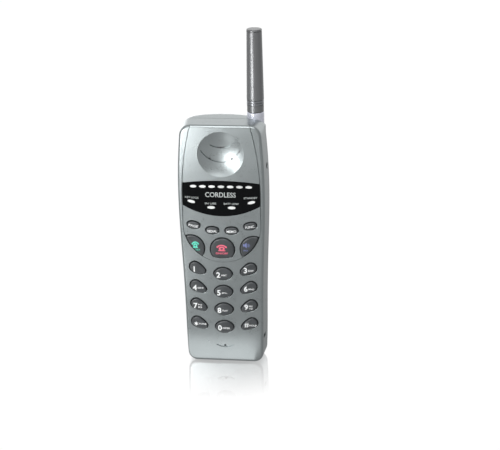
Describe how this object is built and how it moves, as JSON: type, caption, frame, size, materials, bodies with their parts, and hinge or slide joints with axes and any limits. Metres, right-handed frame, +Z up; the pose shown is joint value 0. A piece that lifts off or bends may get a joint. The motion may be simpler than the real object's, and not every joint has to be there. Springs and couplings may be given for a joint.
{
  "type": "cordless handset",
  "caption": "Upright cordless telephone handset with a screw-in stub antenna, dished earpiece, lamp window, sprung keys and a latched battery pack.",
  "frame": {"origin": "middle of the flat base, between the two shells", "axes": "+Z up the body, -Y out of the keypad face, +X to the right seen from the keypad side"},
  "size_m": [0.0578, 0.0333, 0.2194],
  "materials": {
    "shell_silver": "silver metallic paint on moulded plastic, fine flake, satin",
    "window_black": "gloss black acrylic",
    "lamp_clear": "milky clear lens",
    "key_grey": "dark grey key cap, semi-gloss, printed legend",
    "silicone": "translucent silicone",
    "board_green": "glass fibre board, solder mask",
    "chip_black": "moulded package",
    "tin_plate": "tin plate",
    "clear_acrylic": "clear acrylic",
    "rubber_black": "soft rubber",
    "speaker_steel": "pressed steel",
    "antenna_grey": "grey metallic gloss",
    "ferrule_silver": "bright silver metallic paint",
    "brass": "turned brass",
    "steel": "plated steel",
    "contact_gold": "gold plated contact",
    "battery_silver": "silver metallic paint on moulded plastic",
    "cell_wrap": "shrink-wrapped cell",
    "plastic_black": "fine-grained plastic"
  },
  "bodies": {
    "handset": {"front_housing": "shell_silver", "face_panel": "shell_silver", "rear_housing": "shell_silver", "status_window": "window_black", "lamp_row_lenses": "lamp_clear", "status_lamp_lenses": "lamp_clear", "keypad_mat": "silicone", "main_board": "board_green", "rf_board": "board_green", "board_components": "chip_black", "lamp_leds": "lamp_clear", "light_guide": "clear_acrylic", "rf_shield_can": "tin_plate", "board_connector": "plastic_black", "earpiece_gasket": "rubber_black", "earpiece_speaker": "speaker_steel", "microphone_boot": "rubber_black", "microphone_capsule": "speaker_steel", "ringer_speaker": "speaker_steel", "headset_jack": "plastic_black", "strap_pin": "steel", "charge_contacts": "contact_gold", "antenna_ferrule": "ferrule_silver", "antenna_socket": "brass", "housing_screws": "steel", "latch_spring": "steel", "battery_contacts": "contact_gold"},
    "battery": {"battery_shell": "battery_silver", "battery_base": "battery_silver", "battery_terminals": "contact_gold", "battery_cells": "cell_wrap"},
    "battery_latch": {"battery_latch": "battery_silver", "latch_catch": "plastic_black"},
    "antenna_travel": {"antenna_seal": "rubber_black"},
    "antenna": {"antenna_base": "antenna_grey", "antenna_rings": "ferrule_silver", "antenna_sleeve": "antenna_grey", "antenna_cap": "antenna_grey", "antenna_core": "steel", "antenna_coil": "brass"},
    "key_1": {"key_1": "key_grey"},
    "key_2": {"key_2": "key_grey"},
    "key_3": {"key_3": "key_grey"},
    "key_4": {"key_4": "key_grey"},
    "key_5": {"key_5": "key_grey"},
    "key_6": {"key_6": "key_grey"},
    "key_7": {"key_7": "key_grey"},
    "key_8": {"key_8": "key_grey"},
    "key_9": {"key_9": "key_grey"},
    "key_star": {"key_star": "key_grey"},
    "key_0": {"key_0": "key_grey"},
    "key_hash": {"key_hash": "key_grey"},
    "key_page": {"key_page": "key_grey"},
    "key_redial": {"key_redial": "key_grey"},
    "key_memo": {"key_memo": "key_grey"},
    "key_function": {"key_function": "key_grey"},
    "key_talk": {"key_talk": "key_grey"},
    "key_power": {"key_power": "key_grey"},
    "key_speaker": {"key_speaker": "key_grey"}
  },
  "joints": [
    {"name": "key_1_press", "type": "slide", "parent": "handset", "child": "key_1", "axis": [0, 1, 0], "range_m": [0, 0.001], "stiffness_N_per_m": 350, "deforming": ["keypad_mat"]},
    {"name": "key_2_press", "type": "slide", "parent": "handset", "child": "key_2", "axis": [0, 1, 0], "range_m": [0, 0.001], "stiffness_N_per_m": 350, "deforming": ["keypad_mat"]},
    {"name": "key_3_press", "type": "slide", "parent": "handset", "child": "key_3", "axis": [0, 1, 0], "range_m": [0, 0.001], "stiffness_N_per_m": 350, "deforming": ["keypad_mat"]},
    {"name": "key_4_press", "type": "slide", "parent": "handset", "child": "key_4", "axis": [0, 1, 0], "range_m": [0, 0.001], "stiffness_N_per_m": 350, "deforming": ["keypad_mat"]},
    {"name": "key_5_press", "type": "slide", "parent": "handset", "child": "key_5", "axis": [0, 1, 0], "range_m": [0, 0.001], "stiffness_N_per_m": 350, "deforming": ["keypad_mat"]},
    {"name": "key_6_press", "type": "slide", "parent": "handset", "child": "key_6", "axis": [0, 1, 0], "range_m": [0, 0.001], "stiffness_N_per_m": 350, "deforming": ["keypad_mat"]},
    {"name": "key_7_press", "type": "slide", "parent": "handset", "child": "key_7", "axis": [0, 1, 0], "range_m": [0, 0.001], "stiffness_N_per_m": 350, "deforming": ["keypad_mat"]},
    {"name": "key_8_press", "type": "slide", "parent": "handset", "child": "key_8", "axis": [0, 1, 0], "range_m": [0, 0.001], "stiffness_N_per_m": 350, "deforming": ["keypad_mat"]},
    {"name": "key_9_press", "type": "slide", "parent": "handset", "child": "key_9", "axis": [0, 1, 0], "range_m": [0, 0.001], "stiffness_N_per_m": 350, "deforming": ["keypad_mat"]},
    {"name": "key_star_press", "type": "slide", "parent": "handset", "child": "key_star", "axis": [0, 1, 0], "range_m": [0, 0.001], "stiffness_N_per_m": 350, "deforming": ["keypad_mat"]},
    {"name": "key_0_press", "type": "slide", "parent": "handset", "child": "key_0", "axis": [0, 1, 0], "range_m": [0, 0.001], "stiffness_N_per_m": 350, "deforming": ["keypad_mat"]},
    {"name": "key_hash_press", "type": "slide", "parent": "handset", "child": "key_hash", "axis": [0, 1, 0], "range_m": [0, 0.001], "stiffness_N_per_m": 350, "deforming": ["keypad_mat"]},
    {"name": "key_page_press", "type": "slide", "parent": "handset", "child": "key_page", "axis": [0, 1, 0], "range_m": [0, 0.001], "stiffness_N_per_m": 350, "deforming": ["keypad_mat"]},
    {"name": "key_redial_press", "type": "slide", "parent": "handset", "child": "key_redial", "axis": [0, 1, 0], "range_m": [0, 0.001], "stiffness_N_per_m": 350, "deforming": ["keypad_mat"]},
    {"name": "key_memo_press", "type": "slide", "parent": "handset", "child": "key_memo", "axis": [0, 1, 0], "range_m": [0, 0.001], "stiffness_N_per_m": 350, "deforming": ["keypad_mat"]},
    {"name": "key_function_press", "type": "slide", "parent": "handset", "child": "key_function", "axis": [0, 1, 0], "range_m": [0, 0.001], "stiffness_N_per_m": 350, "deforming": ["keypad_mat"]},
    {"name": "key_talk_press", "type": "slide", "parent": "handset", "child": "key_talk", "axis": [0, 1, 0], "range_m": [0, 0.001], "stiffness_N_per_m": 350, "deforming": ["keypad_mat"]},
    {"name": "key_power_press", "type": "slide", "parent": "handset", "child": "key_power", "axis": [0, 1, 0], "range_m": [0, 0.001], "stiffness_N_per_m": 350, "deforming": ["keypad_mat"]},
    {"name": "key_speaker_press", "type": "slide", "parent": "handset", "child": "key_speaker", "axis": [0, 1, 0], "range_m": [0, 0.001], "stiffness_N_per_m": 350, "deforming": ["keypad_mat"]},
    {"name": "battery_release", "type": "hinge", "parent": "handset", "child": "battery", "pos_m": [0, 0.0032, 0.0011], "axis": [-1, 0, 0], "range_deg": [0, 30], "deforming": ["latch_catch"]},
    {"name": "battery_latch_slide", "type": "slide", "parent": "handset", "child": "battery_latch", "axis": [0, 0, 1], "range_m": [0, 0.0034], "stiffness_N_per_m": 450, "deforming": ["latch_spring"]},
    {"name": "antenna_advance", "type": "slide", "parent": "handset", "child": "antenna_travel", "axis": [0, 0, 1], "range_m": [0, 0.004]},
    {"name": "antenna_unscrew", "type": "hinge", "parent": "antenna_travel", "child": "antenna", "pos_m": [0.0204, 0.0045, 0.1669], "axis": [0, 0, 1], "range_deg": [0, 1801]}
  ],
  "couplings": [
    {"joint": "antenna_unscrew", "follows": "antenna_advance", "rad_per_m": 7854}
  ]
}
